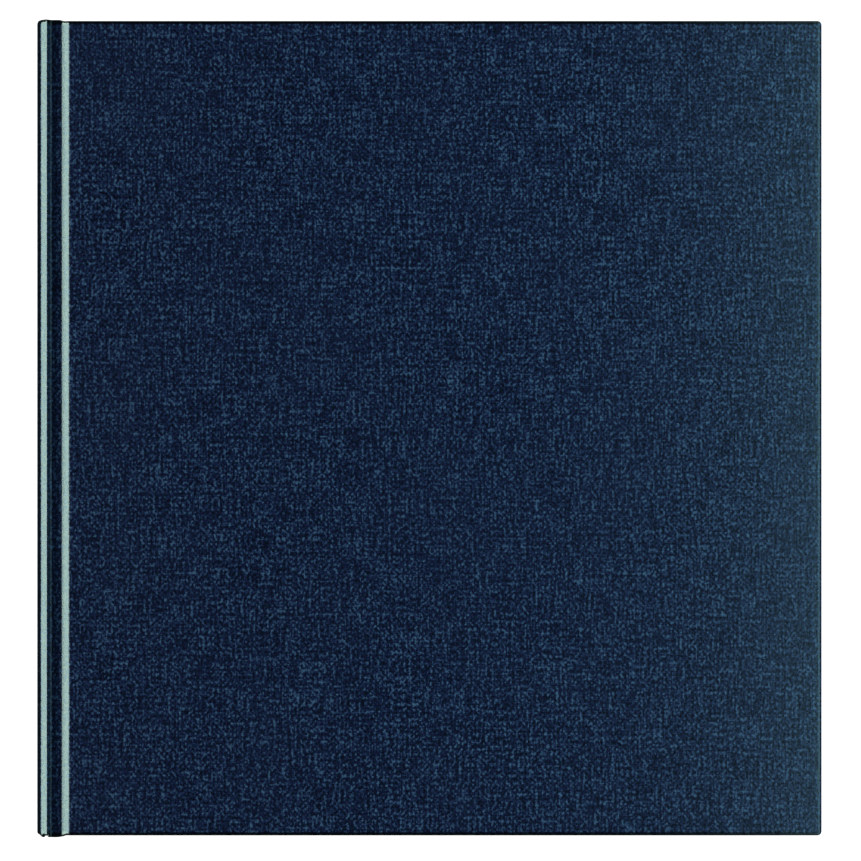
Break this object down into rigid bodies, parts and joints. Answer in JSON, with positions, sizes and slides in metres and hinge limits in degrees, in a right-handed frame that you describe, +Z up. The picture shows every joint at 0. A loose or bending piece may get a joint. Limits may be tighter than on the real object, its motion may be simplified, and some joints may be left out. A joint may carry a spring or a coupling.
{
  "type": "pilot logbook",
  "caption": "Case-bound pilot logbook in blue book cloth: sewn ledger sections in a hinged hard case with pressed joints.",
  "frame": {"origin": "on the table under the middle of the closed book's outline", "axes": "+X from the spine to the fore edge, +Y from the tail to the head, +Z up through the thickness"},
  "size_m": [0.232, 0.2416, 0.0236],
  "materials": {
    "book_cloth": "dark blue linen-grain book cloth with a satin filler",
    "grey_board": "grey binder's board, matt",
    "endpaper": "ivory laid endpaper, matt",
    "ledger_paper": "pale ledger paper with ruled tables, matt",
    "mull": "open-weave starched cotton gauze",
    "kraft_liner": "brown kraft paper, matt",
    "headband_cloth": "blue and white woven headband",
    "linen_thread": "waxed linen thread"
  },
  "bodies": {
    "text_block": {"back_flyleaf": "endpaper", "headband": "headband_cloth", "section_04": "ledger_paper", "section_05": "ledger_paper", "section_06": "ledger_paper", "section_07": "ledger_paper", "section_08": "ledger_paper", "section_09": "ledger_paper", "section_10": "ledger_paper", "section_11": "ledger_paper", "section_12": "ledger_paper", "section_13": "ledger_paper", "section_14": "ledger_paper", "section_15": "ledger_paper", "section_16": "ledger_paper", "sewing_thread": "linen_thread", "spine_board": "grey_board", "spine_cloth": "book_cloth", "spine_liner": "kraft_liner", "spine_mull": "mull", "tailband": "headband_cloth"},
    "front_cover": {"front_board": "grey_board", "front_cloth": "book_cloth", "front_endpaper_joint": "endpaper", "front_joint_cloth": "book_cloth", "front_mull_flap": "mull", "front_mull_joint": "mull", "front_pastedown": "endpaper"},
    "back_cover": {"back_board": "grey_board", "back_cloth": "book_cloth", "back_endpaper_joint": "endpaper", "back_joint_cloth": "book_cloth", "back_mull_flap": "mull", "back_mull_joint": "mull", "back_pastedown": "endpaper"},
    "front_flyleaf": {"front_flyleaf": "endpaper"},
    "section_01": {"section_01": "ledger_paper"},
    "section_02": {"section_02": "ledger_paper"},
    "section_03": {"section_03": "ledger_paper"}
  },
  "joints": [
    {"name": "front_cover_hinge", "type": "hinge", "parent": "text_block", "child": "front_cover", "pos_m": [-0.1123, 0, 0.0238], "axis": [0, -1, 0], "range_deg": [0, 178]},
    {"name": "back_cover_hinge", "type": "hinge", "parent": "text_block", "child": "back_cover", "pos_m": [-0.1125, 0, 0.00355], "axis": [0, 1, 0], "range_deg": [0, 179.5], "deforming": ["back_joint_cloth", "back_endpaper_joint", "back_mull_joint"]},
    {"name": "front_flyleaf_turn", "type": "hinge", "parent": "text_block", "child": "front_flyleaf", "pos_m": [-0.1123, 0, 0.0238], "axis": [0, -1, 0], "range_deg": [0, 172]},
    {"name": "section_01_turn", "type": "hinge", "parent": "text_block", "child": "section_01", "pos_m": [-0.1123, 0, 0.0238], "axis": [0, -1, 0], "range_deg": [0, 165]},
    {"name": "section_02_turn", "type": "hinge", "parent": "text_block", "child": "section_02", "pos_m": [-0.1123, 0, 0.0238], "axis": [0, -1, 0], "range_deg": [0, 157]},
    {"name": "section_03_turn", "type": "hinge", "parent": "text_block", "child": "section_03", "pos_m": [-0.1123, 0, 0.0238], "axis": [0, -1, 0], "range_deg": [0, 148]}
  ],
  "couplings": [
    {"joint": "front_flyleaf_turn", "follows": "front_cover_hinge", "ratio": 0.965},
    {"joint": "section_01_turn", "follows": "front_cover_hinge", "ratio": 0.925},
    {"joint": "section_02_turn", "follows": "front_cover_hinge", "ratio": 0.88},
    {"joint": "section_03_turn", "follows": "front_cover_hinge", "ratio": 0.83}
  ]
}
